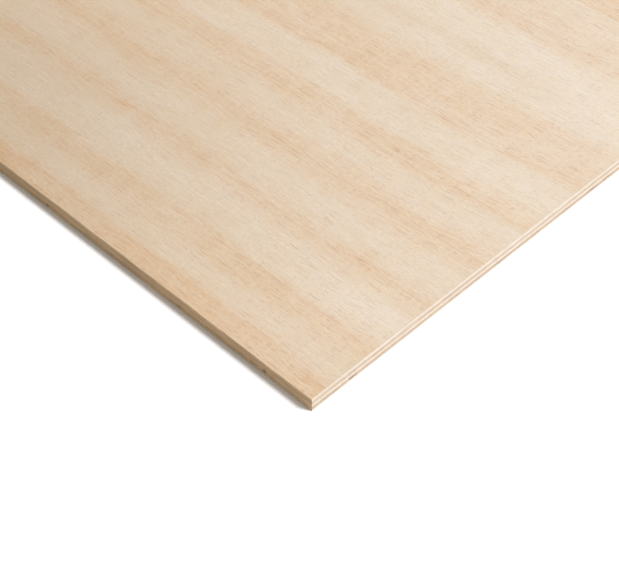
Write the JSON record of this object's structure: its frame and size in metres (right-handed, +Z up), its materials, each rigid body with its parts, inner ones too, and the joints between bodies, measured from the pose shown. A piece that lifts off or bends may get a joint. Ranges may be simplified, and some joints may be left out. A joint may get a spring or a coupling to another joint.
{
  "type": "plywood sheet",
  "caption": "Flat rectangular sheet of plywood, cross-laid veneers glued face to face with the plies showing on its sawn edges; lies flat and is cut, screwed or glued to supports.",
  "frame": {"origin": "middle of the back, which lies on the floor", "axes": "+X along the sheet's length and the grain of its face, +Y across the sheet, +Z up out of the face"},
  "size_m": [2.44, 1.22, 0.0085],
  "materials": {
    "face_veneer": "sanded satin, cream with warm tan growth stripes",
    "upper_crossband": "sawn matte, pinkish tan",
    "core_veneer": "sawn matte, pale cream",
    "lower_crossband": "sawn matte, pinkish tan",
    "back_veneer": "sanded satin, cream"
  },
  "bodies": {
    "root": {"back_veneer": "back_veneer", "core_veneer_1": "core_veneer", "core_veneer_2": "core_veneer", "core_veneer_3": "core_veneer", "core_veneer_4": "core_veneer", "face_veneer": "face_veneer", "lower_crossband_1": "lower_crossband", "lower_crossband_2": "lower_crossband", "lower_crossband_3": "lower_crossband", "lower_crossband_4": "lower_crossband", "lower_crossband_5": "lower_crossband", "upper_crossband_1": "upper_crossband", "upper_crossband_2": "upper_crossband", "upper_crossband_3": "upper_crossband", "upper_crossband_4": "upper_crossband"}
  },
  "joints": []
}
